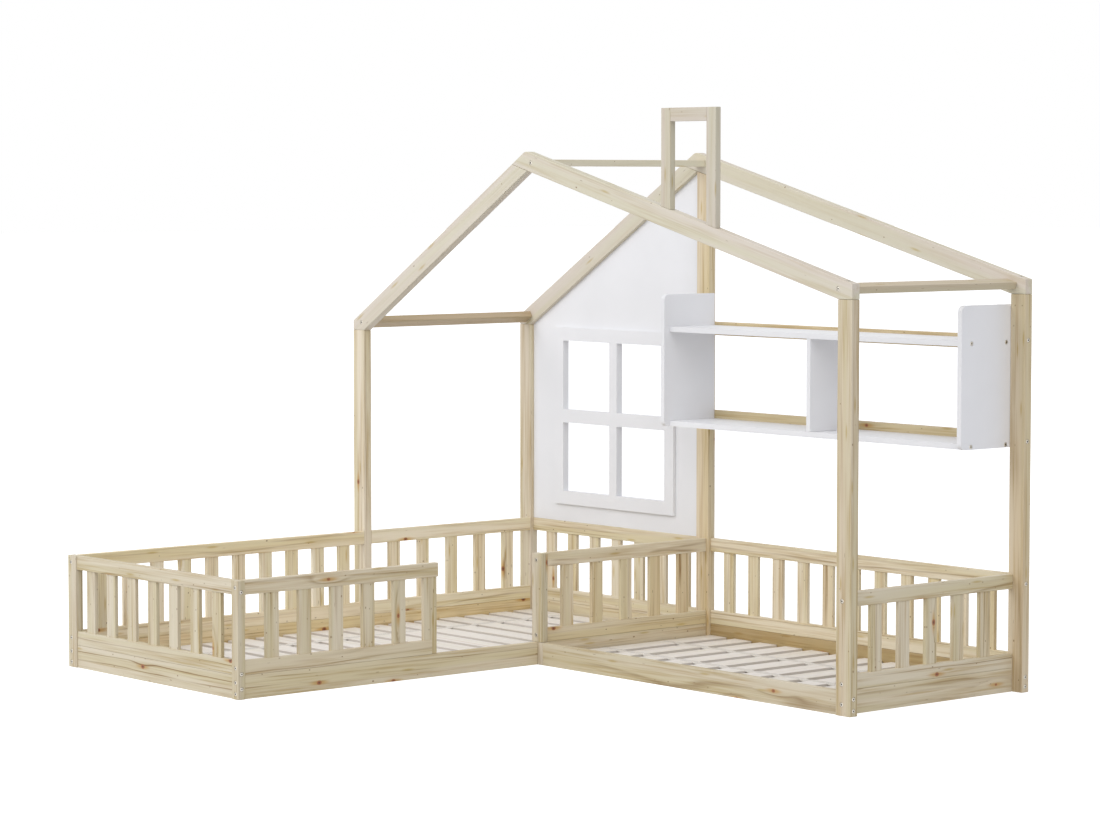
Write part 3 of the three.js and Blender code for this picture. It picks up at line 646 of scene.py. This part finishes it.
def webbing_finish():
    """Polyester webbing, woven in a plain weave: matt off-white with a fine basket of threads."""
    material, tree = new_material("polyester_webbing_plain_weave")
    place = node(tree, "Attribute", {"attribute_name": "board"}).outputs["Vector"]
    # Threads are 1.2 mm apart; a wave's bands repeat every tenth of pi at a scale of 1
    thread = 0.314 / 1.2
    warp, weft = [
        node(tree, "TexWave", {"bands_direction": direction, "Scale": thread}, {
            "Vector": place}).outputs["Fac"]
        for direction in ("X", "Y")]
    weave = node(tree, "Math", {"operation": "MULTIPLY"}, {0: warp, 1: weft})
    yarn = node(tree, "ValToRGB", {"stops": [(0.0, "#cfc9bf"), (0.6, "#e6dfd6")]}, {
        "Fac": weave.outputs[0]})
    bump = node(tree, "Bump", {"Strength": 0.5, "Distance": 0.3 * MM}, {"Height": weave.outputs[0]})
    skin = node(tree, "BsdfPrincipled", {
        "IOR": 1.5,
        "Roughness": 0.85,
        "Subsurface Weight": 0.7,
        "Subsurface Radius": (1, 1, 1),
        "Subsurface Scale": 4 * MM,
    }, {"Base Color": yarn.outputs["Color"], "Normal": bump.outputs[0]})
    node(tree, "OutputMaterial", {}, {"Surface": skin.outputs[0]})
    return material


# Shapes, in millimetres

def mm_box(name):
    """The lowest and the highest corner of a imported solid."""
    low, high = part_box(name)
    return low / MM, high / MM


def skinned(rings):
    """A closed shape with a skin from ring to ring and a flat face on the first and the last."""
    shape = bmesh.new()
    loops = [[shape.verts.new(point) for point in ring] for ring in rings]
    shape.faces.new(loops[0])
    shape.faces.new(list(reversed(loops[-1])))
    for first, second in zip(loops, loops[1:]):
        for index in range(len(first)):
            following = (index + 1) % len(first)
            shape.faces.new([first[following], first[index], second[index], second[following]])
    bmesh.ops.recalc_face_normals(shape, faces=shape.faces)
    return shape


def plate(outline, axis, start, end):
    """A sharp-edged plate: an outline across one axis, from its start to its end along it."""
    place = "xyz".index(axis)
    return skinned([[(*point[:place], depth, *point[place:]) for point in outline]
                    for depth in (start, end)])


def upright(low, high, feet=None, tops=None):
    """A sharp-edged upright plate. Its foot or its top may slope, between heights given for its
    left and its right side."""
    feet = feet or (low.z, low.z)
    tops = tops or (high.z, high.z)
    outline = [(low.x, feet[0]), (high.x, feet[1]), (high.x, tops[1]), (low.x, tops[0])]
    return plate(outline, "y", low.y, high.y)


def eased(shape, radius):
    """The same shape with its sharp edges rounded over."""
    edges = [edge for edge in shape.edges if edge.calc_face_angle(0) > math.radians(SHARP_ANGLE)]
    bmesh.ops.bevel(shape, geom=edges, offset=radius, offset_type="OFFSET", segments=EDGE_STEPS,
                    profile=0.5, affect="EDGES", clamp_overlap=True)
    return shape


def block(low, high, radius):
    """A block with its edges rounded over."""
    outline = [(low[1], low[2]), (high[1], low[2]), (high[1], high[2]), (low[1], high[2])]
    return eased(plate(outline, "x", low[0], high[0]), radius)


def rounded_corner(before, corner, after, radius):
    """The points of an arc that takes the place of an outline's corner."""
    before, corner, after = (Vector(point) for point in (before, corner, after))
    back = (before - corner).normalized()
    ahead = (after - corner).normalized()
    half = back.angle(ahead) / 2
    reach = radius / math.tan(half)
    middle = corner + (back + ahead).normalized() * radius / math.sin(half)
    first = corner + back * reach - middle
    last = corner + ahead * reach - middle
    turn = first.angle_signed(last)
    arc = []
    for step in range(CORNER_STEPS + 1):
        angle = -turn * step / CORNER_STEPS
        cosine, sine = math.cos(angle), math.sin(angle)
        arc.append(middle + Vector((
            first.x * cosine - first.y * sine, first.x * sine + first.y * cosine)))
    return [tuple(point) for point in arc]


def cut_away(shape, cutters):
    """The shape with the cutters' space taken out of it."""
    used = []
    for solid in (shape, *cutters):
        mesh = bpy.data.meshes.new("cut")
        solid.to_mesh(mesh)
        used.append(bpy.data.objects.new("cut", mesh))
        bpy.context.scene.collection.objects.link(used[-1])
    whole, *tools = used
    for tool in tools:
        modifier = whole.modifiers.new("cut", "BOOLEAN")
        modifier.operation = "DIFFERENCE"
        modifier.solver = "EXACT"
        modifier.object = tool
    evaluated = whole.evaluated_get(bpy.context.evaluated_depsgraph_get())
    result = bmesh.new()
    result.from_mesh(evaluated.to_mesh())
    evaluated.to_mesh_clear()
    for piece in used:
        mesh = piece.data
        bpy.data.objects.remove(piece)
        bpy.data.meshes.remove(mesh)
    return result


# Pieces

def stick(shape, along=None, broad=None, grades=BOARD_GRADE):
    """A shape with the directions of its grain and of its broad face, a block's own by default, and
    the range that its grade is drawn from."""
    if along is None:
        sizes = [max(v.co[k] for v in shape.verts) - min(v.co[k] for v in shape.verts)
                 for k in range(3)]
        order = sorted(range(3), key=lambda k: sizes[k])
        along = AXES["xyz"[order[2]]]
        broad = AXES["xyz"[order[1]]]
    return shape, along, broad, grades


def make_piece(name, sticks, finish, solid=None):
    """Makes one piece of its sticks, each with its own place in the timber that it was cut from and its
    own grade. A finish is a material, another for the sticks' narrow sides, and a slot, which is not
    used."""
    material, edge_material, slot = finish
    points, faces, boards, grade_values, narrow_sides = [], [], [], [], []
    # How dark and how yellow this piece is drawn: partly its timber's own tone and heartwood, partly
    # painted shade and painted light
    darkness, heartwood = TIMBER_TONES_AND_PAINTED_SHADE[max((start for start in TIMBER_TONES_AND_PAINTED_SHADE if name.startswith(start)), key=len)]
    chance = random.Random(name)
    for shape, along, broad, grades in sticks:
        through = along.cross(broad)
        shift = Vector([chance.uniform(*reach) for reach in (CUT_ALONG, CUT_ACROSS, CUT_THROUGH)])
        grade = chance.uniform(*grades)
        centre = sum((vertex.co for vertex in shape.verts), Vector()) / len(shape.verts)
        offset = len(points)
        for vertex in shape.verts:
            from_centre = vertex.co - centre
            points.append(vertex.co * MM)
            boards.append(shift + Vector((
                from_centre.dot(along), from_centre.dot(broad), from_centre.dot(through))))
            grade_values.append(grade)
        shape.verts.index_update()
        shape.normal_update()
        faces += [[offset + vertex.index for vertex in face.verts] for face in shape.faces]
        narrow_sides += [int(abs(face.normal.dot(through)) < NARROW_SIDE) for face in shape.faces]
        shape.free()
    mesh = bpy.data.meshes.new(name)
    mesh.from_pydata(points, [], faces)
    layers = {
        "board": ("FLOAT_VECTOR", "vector", [value for board in boards for value in board]),
        "grade": ("FLOAT", "value", grade_values),
        "darkness": ("FLOAT", "value", [darkness] * len(points)),
        "heartwood": ("FLOAT", "value", [heartwood] * len(points)),
    }
    for layer, (kind, key, values) in layers.items():
        mesh.attributes.new(layer, kind, "POINT").data.foreach_set(key, values)
    mesh.polygons.foreach_set("use_smooth", [True] * len(mesh.polygons))
    mesh.set_sharp_from_angle(angle=math.radians(CREASE_ANGLE))
    mesh.materials.append(material)
    if edge_material:
        mesh.materials.append(edge_material)
        mesh.polygons.foreach_set("material_index", narrow_sides)
    piece = bpy.data.objects.new(name, mesh)
    bpy.context.scene.collection.objects.link(piece)
    even = piece.modifiers.new("even_shading", "WEIGHTED_NORMAL")
    even.keep_sharp = True
    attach(piece, "root")
    if solid:
        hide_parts(solid)


def turned(place, outward, profile):
    """A shape turned about a line into a face. Each ring of its profile has its depth below that
    face, its radius, and whether it is pressed to a hexagon."""
    across = outward.orthogonal().normalized()
    over = outward.cross(across)
    sector = math.pi / 3
    rings = []
    for depth, radius, pressed in profile:
        ring = []
        for index in range(HEAD_SIDES):
            angle = 2 * math.pi * index / HEAD_SIDES
            reach = radius
            if pressed:
                reach = radius * math.cos(sector / 2) / math.cos(angle % sector - sector / 2)
            ring.append(place - outward * depth
                        + (across * math.cos(angle) + over * math.sin(angle)) * reach)
        rings.append(ring)
    return skinned(rings)


def bolt(place, outward, tip):
    """A bolt sunk in a face: a chamfered head with a hexagon socket, and a shank to its tip. Its
    flat ends count as broad faces and its sides as narrow ones."""
    back = HEAD_SUNK + HEAD_DEPTH
    shape = turned(place, outward, [
        (HEAD_SUNK + SOCKET_DEPTH, SOCKET_RADIUS, True),
        (HEAD_SUNK, SOCKET_RADIUS, True),
        (HEAD_SUNK, HEAD_RADIUS - HEAD_CHAMFER, False),
        (HEAD_SUNK + HEAD_CHAMFER, HEAD_RADIUS, False),
        (back, HEAD_RADIUS, False),
        (back, SHANK_RADIUS, False),
        (tip, SHANK_RADIUS, False),
    ])
    across = outward.orthogonal().normalized()
    return stick(shape, across, outward.cross(across))


def drilled(shape, places):
    """The shape with holes for the heads of bolts, each at its place in its outward direction."""
    radius = HEAD_RADIUS + HOLE_CLEARANCE
    depth = HEAD_SUNK + HEAD_DEPTH + HOLE_SPARE_DEPTH
    hole = [(-CUT_OVERSHOOT, radius, False), (depth, radius, False)]
    return cut_away(shape, [turned(place, outward, hole) for place, outward in places])


def face_places(name, side, offset, heights):
    """Places on one upright face of a solid: offset from its left or front edge, at these heights."""
    low, high = mm_box(name)
    outward = OUTWARD[side]
    through = 0 if outward.x else 1
    across = 1 - through
    places = []
    for height in heights:
        place = Vector((0, 0, height))
        place[through] = high[through] if side in ("back", "right") else low[through]
        place[across] = low[across] + offset
        places.append((place, outward))
    return places


def add_posts(pine, zinc):
    starts = ("post_", "corner_post_", "corner_block_")
    for name in [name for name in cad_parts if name.startswith(starts)]:
        low, high = mm_box(name)
        if name == "post_back_middle":
            tops = [underside("right", x) - JOINT_GAP for x in (low.x, high.x)]
            shape = eased(upright(low, high, tops=tops), POST_EDGE)
        else:
            shape = block(low, high, PICKET_EDGE if name == "corner_block_inner" else POST_EDGE)
        places = [place for row in BOLT_PLACES.get(name, []) for place in face_places(name, *row)]
        if places:
            shape = drilled(shape, places)
            make_piece(f"bolts_{name}", [bolt(*place, POST_BOLT_TIP) for place in places], zinc)
        make_piece(f"{name}_planed", [stick(shape, grades=POST_GRADE)], pine, name)


# Roof. The rafters' slopes are those going right, on each side of the peak, and a slant is how many
# times its square depth a rafter measures upright.

PEAK_PLACE = MIDDLE_POST_PLACE - HALF_WIDTH
SLOPES = {
    "left": (PEAK_HEIGHT - LEFT_EAVE_HEIGHT) / (MIDDLE_POST_PLACE - POST_WIDTH),
    "right": (RIGHT_EAVE_HEIGHT - PEAK_HEIGHT) / (HALF_WIDTH - POST_WIDTH - PEAK_PLACE),
}
SLANTS = {side: math.hypot(1, slope) for side, slope in SLOPES.items()}


def underside(side, x):
    """The height of the underside of the rafters on one side of the peak."""
    return PEAK_HEIGHT + SLOPES[side] * (x - PEAK_PLACE)


def upper_side(side, x):
    return underside(side, x) + RAFTER_DEPTH * SLANTS[side]


def left_rafter_outline():
    """A left rafter, which ends a gap short of the underside of the right one."""
    closing = SLOPES["left"] - SLOPES["right"]
    gap = JOINT_GAP * SLANTS["right"]
    lower = PEAK_PLACE - gap / closing
    upper = PEAK_PLACE - (RAFTER_DEPTH * SLANTS["left"] + gap) / closing
    left = -HALF_WIDTH
    return [
        (left, LEFT_EAVE_HEIGHT),
        (left + POST_WIDTH, LEFT_EAVE_HEIGHT),
        (lower, underside("left", lower)),
        (upper, upper_side("left", upper)),
        (left, upper_side("left", left)),
    ]


def right_rafter_outline():
    """A right rafter, which runs over the peak to the left one's upper side and is rounded there."""
    closing = SLOPES["left"] - SLOPES["right"]
    tail = PEAK_PLACE - RAFTER_DEPTH * SLANTS["left"] / closing
    apex = PEAK_PLACE - RAFTER_DEPTH * (SLANTS["left"] - SLANTS["right"]) / closing
    right = HALF_WIDTH
    start = (tail, underside("right", tail))
    top = (apex, upper_side("right", apex))
    end = (right, upper_side("right", right))
    return [start, (right - POST_WIDTH, RIGHT_EAVE_HEIGHT), (right, RIGHT_EAVE_HEIGHT), end,
            *rounded_corner(end, top, start, PEAK_ROUNDING)]


def add_rafters(pine, zinc):
    """The rafters, the bolts through them into the purlins, and one in each down into its post."""
    sides = {
        "left": (left_rafter_outline(), ("left_eave",)),
        "right": (right_rafter_outline(), ("ridge", "right_eave")),
    }
    for face in ("front", "back"):
        for side, (outline, keys) in sides.items():
            name = f"rafter_{face}_{side}"
            low, high = mm_box(name)
            along = Vector((1, 0, SLOPES[side])).normalized()
            upward = along.cross(AXES["y"])
            over_post = low.x + POST_WIDTH / 2 if side == "left" else high.x - POST_WIDTH / 2
            top = Vector((over_post, (low.y + high.y) / 2, upper_side(side, over_post)))
            places = [(top, upward)]
            purlin_bolts = {}
            for key in keys:
                bolt_low, bolt_high = mm_box(f"bolt_{face}_{key}")
                place = (bolt_low + bolt_high) / 2
                place.y = low.y if face == "front" else high.y
                places.append((place, OUTWARD[face]))
                purlin_bolts[key] = (place, OUTWARD[face], bolt_high.y - bolt_low.y + HEAD_SUNK)
            shape = drilled(eased(plate(outline, "y", low.y, high.y), POST_EDGE), places)
            make_piece(f"{name}_planed", [stick(shape, along, upward, ROOF_GRADE)], pine, name)
            make_piece(f"bolts_{name}", [bolt(top, upward, RAFTER_BOLT_TIP)], zinc)
            for key, purlin_bolt in purlin_bolts.items():
                make_piece(f"bolt_{face}_{key}_turned", [bolt(*purlin_bolt)], zinc,
                           f"bolt_{face}_{key}")


def add_purlins(pine):
    """The purlins; those at the eaves are turned to the slopes of the roof."""
    for key, slope in (("left_eave", SLOPES["left"]), ("ridge", 0), ("right_eave", SLOPES["right"])):
        name = f"purlin_{key}"
        low, high = mm_box(name)
        middle = (low + high) / 2
        across = Vector((1, 0, slope)).normalized()
        upward = across.cross(AXES["y"])
        outline = []
        for side, level in ((-1, -1), (1, -1), (1, 1), (-1, 1)):
            corner = middle + across * side * PURLIN_WIDTH / 2 + upward * level * PURLIN_HEIGHT / 2
            outline.append((corner.x, corner.z))
        shape = eased(plate(outline, "y", low.y, high.y), RAIL_EDGE)
        make_piece(f"{name}_planed", [stick(shape, AXES["y"], across, ROOF_GRADE)], pine, name)


def add_chimney(pine):
    """The chimney's uprights, with feet cut to the slope of the rafter, and the rail on top."""
    for name in ("chimney_upright_left", "chimney_upright_right", "chimney_top_rail"):
        low, high = mm_box(name)
        feet = None
        if "upright" in name:
            gap = JOINT_GAP * SLANTS["right"]
            feet = [upper_side("right", x) + gap for x in (low.x, high.x)]
        shape = eased(upright(low, high, feet), RAIL_EDGE)
        make_piece(f"{name}_planed", [stick(shape, grades=ROOF_GRADE)], pine, name)


# Beds

def add_straight_timbers(pine):
    """Boards, ledgers and the shelf's back rails."""
    starts = ("board_", "ledger_", "shelf_back_rail_")
    for name in [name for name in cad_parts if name.startswith(starts)]:
        shape = block(*mm_box(name), RAIL_EDGE)
        make_piece(f"{name}_planed", [stick(shape)], pine, name)


def fence_stick(box, along, start, end, bottom, top, thickness=None):
    """A stick of a fence, from start to end along it. It is a rail of the fence's own thickness, or
    a picket of its given one."""
    low, high = box
    across = 1 - along
    middle = (low[across] + high[across]) / 2
    reach = (thickness or high[across] - low[across]) / 2
    corners = []
    for edge, side, height in ((start, -1, bottom), (end, 1, top)):
        corner = [edge, edge, height]
        corner[across] = middle + side * reach
        corners.append(corner)
    if thickness:
        return stick(block(*corners, PICKET_EDGE), grades=PICKET_GRADE)
    return stick(block(*corners, RAIL_EDGE))


def fence_rails(box, along, lower_end):
    """Both rails of a fence. The lower one may end early."""
    low, high = box
    return [
        fence_stick(box, along, low[along], lower_end, low.z, low.z + RAIL_HEIGHT),
        fence_stick(box, along, low[along], high[along], high.z - RAIL_HEIGHT, high.z),
    ]


def picket(box, along, place):
    """A picket with a tenon in both rails."""
    low, high = box
    half = PICKET_WIDTH / 2
    bottom = low.z + RAIL_HEIGHT - PICKET_TENON
    top = high.z - RAIL_HEIGHT + PICKET_TENON
    return fence_stick(box, along, place - half, place + half, bottom, top, PICKET_THICKNESS)


def add_fences(pine):
    """The fences with a plain row of pickets, as many as leave room at both ends."""
    for name, (axis, pitch, shift) in FENCES.items():
        box = mm_box(f"fence_{name}")
        low, high = box
        along = "xy".index(axis)
        start, end = low[along], high[along]
        count = int((end - start - PICKET_WIDTH - 2 * LEAST_END_GAP) // pitch) + 1
        middle = (start + end) / 2 + shift
        sticks = fence_rails(box, along, end)
        for index in range(count):
            sticks.append(picket(box, along, middle + (index - (count - 1) / 2) * pitch))
        make_piece(f"fence_{name}_joined", sticks, pine, f"fence_{name}")


def add_gate(pine):
    """The fence beside the way in, which ends in a stile."""
    box = mm_box("fence_gate")
    low, high = box
    along = 1
    stile_end = high.y - GATE_RAIL_OVERHANG
    stile_start = stile_end - GATE_STILE_WIDTH
    stile_top = high.z - RAIL_HEIGHT + PICKET_TENON
    last = stile_end - GATE_STILE_WIDTH / 2
    count = int((stile_start - low.y - LEAST_END_GAP) // GATE_PICKET_PITCH)
    sticks = fence_rails(box, along, stile_start + GATE_STILE_LAP)
    sticks.append(
        fence_stick(box, along, stile_start, stile_end, low.z, stile_top, PICKET_THICKNESS))
    for index in range(count):
        sticks.append(picket(box, along, last - (index + 1) * GATE_PICKET_PITCH))
    make_piece("fence_gate_joined", sticks, pine, "fence_gate")


def webbing_strip(axis, across_middle, starts, top):
    """A webbing strip on top of the slats, which sags a little in each gap between them."""
    places = []
    for slat in sorted(starts):
        if places:
            places.append(((places[-1][0] + slat) / 2, WEBBING_SAG))
        places.append((slat, 0))
        places.append((slat + SLAT_WIDTH, 0))
    rings = []
    for place, sag in places:
        ring = []
        for side, depth in ((-1, 0), (1, 0), (1, WEBBING_THICKNESS), (-1, WEBBING_THICKNESS)):
            across = across_middle + side * WEBBING_WIDTH / 2
            corner = (place, across) if axis == "x" else (across, place)
            ring.append((*corner, top - depth - sag))
        rings.append(ring)
    return stick(skinned(rings), AXES[axis], AXES["y" if axis == "x" else "x"])


def add_bases(slat_wood, webbing):
    """Each bed's slats and the strips of webbing that hold them at their pitch."""
    for bed, (axis, pitch, webbing_places) in BASES.items():
        name = f"slats_{bed}_bed"
        low, high = mm_box(name)
        along = "xy".index(axis)
        across = 1 - along
        count = round((high[along] - low[along] - SLAT_WIDTH) / abs(pitch)) + 1
        first = low[along] if pitch > 0 else high[along] - SLAT_WIDTH
        starts = [first + index * pitch for index in range(count)]
        slats = []
        for start in starts:
            lowest, highest = low.copy(), high.copy()
            lowest[along], highest[along] = start, start + SLAT_WIDTH
            lowest.z = high.z - SLAT_THICKNESS
            slats.append(stick(block(lowest, highest, SLAT_EDGE)))
        make_piece(f"{name}_planed", slats, slat_wood, name)
        strips = []
        for place in webbing_places:
            side = low if place > 0 else high
            strips.append(webbing_strip(
                axis, side[across] + place, starts, high.z + WEBBING_STANDS_PROUD))
        make_piece(f"webbing_{bed}_bed", strips, webbing)


# White panels

def panes(front, back):
    """The four openings through the gable wall or the window frame, from its front to its back."""
    low, high = mm_box("window_frame")
    middle = (low + high) / 2
    columns = ((low.x + WINDOW_BORDER, middle.x - WINDOW_MULLION / 2),
               (middle.x + WINDOW_MULLION / 2, high.x - WINDOW_BORDER))
    rows = ((low.z + WINDOW_BORDER, middle.z - WINDOW_BORDER / 2),
            (middle.z + WINDOW_BORDER / 2, high.z - WINDOW_BORDER))
    return [upright(Vector((left, front - CUT_OVERSHOOT, bottom)),
                    Vector((right, back + CUT_OVERSHOOT, top)))
            for left, right in columns for bottom, top in rows]


def add_gable_wall(lacquer):
    """The wall, with its top cut to the slope of the roof, and the raised frame of its window."""
    for name in ("gable_wall", "window_frame"):
        low, high = mm_box(name)
        tops = None
        if name == "gable_wall":
            gap = JOINT_GAP * SLANTS["left"]
            tops = [underside("left", x) - gap for x in (low.x, high.x)]
        panel = eased(cut_away(upright(low, high, tops=tops), panes(low.y, high.y)), PANEL_EDGE)
        make_piece(f"{name}_painted", [stick(panel, AXES["z"], AXES["x"])], lacquer, name)


def add_shelf(lacquer, zinc):
    boards = [mm_box(f"shelf_board_{level}") for level in ("lower", "upper")]
    heights = [(low.z + high.z) / 2 for low, high in boards]
    for side in ("left", "right"):
        name = f"shelf_side_{side}"
        low, high = mm_box(name)
        back_bottom, back_top = (high.y, low.z), (high.y, high.z)
        front_bottom, front_top = (low.y, low.z), (low.y, high.z)
        outline = [back_bottom, back_top,
                   *rounded_corner(back_top, front_top, front_bottom, SHELF_ROUNDING),
                   *rounded_corner(front_top, front_bottom, back_bottom, SHELF_ROUNDING)]
        places = [place for offset in SHELF_BOLT_INSETS
                  for place in face_places(name, side, offset, heights)]
        shape = drilled(eased(plate(outline, "x", low.x, high.x), PANEL_EDGE), places)
        make_piece(f"bolts_{name}", [bolt(*place, SHELF_BOLT_TIP) for place in places], zinc)
        make_piece(f"{name}_painted", [stick(shape, AXES["z"], AXES["y"])], lacquer, name)
    for name in ("shelf_board_lower", "shelf_board_upper", "shelf_divider"):
        make_piece(f"{name}_painted", [stick(block(*mm_box(name), PANEL_EDGE))], lacquer, name)


add_camera()
add_studio()
add_floor()

# Each finish: its material, another for narrow sides where they look different, and its slot
pine = (pine_finish(), None, "pine")
slat_wood = (
    slat_finish("slat_softwood_planed_bare", ("#ece6df", "#e8e2d7"), "#e6dccf"),
    # Greyer narrow sides: the edges' own duller tone and painted shade in the gaps between the slats
    slat_finish("slat_softwood_sawn_edge", ("#ded6cd", "#d8d0c5"), "#dccfc0"),
    "slat_wood",
)
lacquer = (lacquer_finish(), None, "white_lacquer")
zinc = (
    zinc_finish("steel_turned_zinc_plated", ("#cbc5b9", "#d8d2c7")),
    # Painted shade: dark metal down the bolts' sides and in their sockets
    zinc_finish("steel_zinc_plated_painted_socket_shade", ("#6f6d6a", "#7d7b77")),
    "zinc_steel",
)
webbing = (webbing_finish(), None, "slat_wood")

add_posts(pine, zinc)
add_rafters(pine, zinc)
add_purlins(pine)
add_chimney(pine)
add_straight_timbers(pine)
add_fences(pine)
add_gate(pine)
add_bases(slat_wood, webbing)
add_gable_wall(lacquer)
add_shelf(lacquer, zinc)
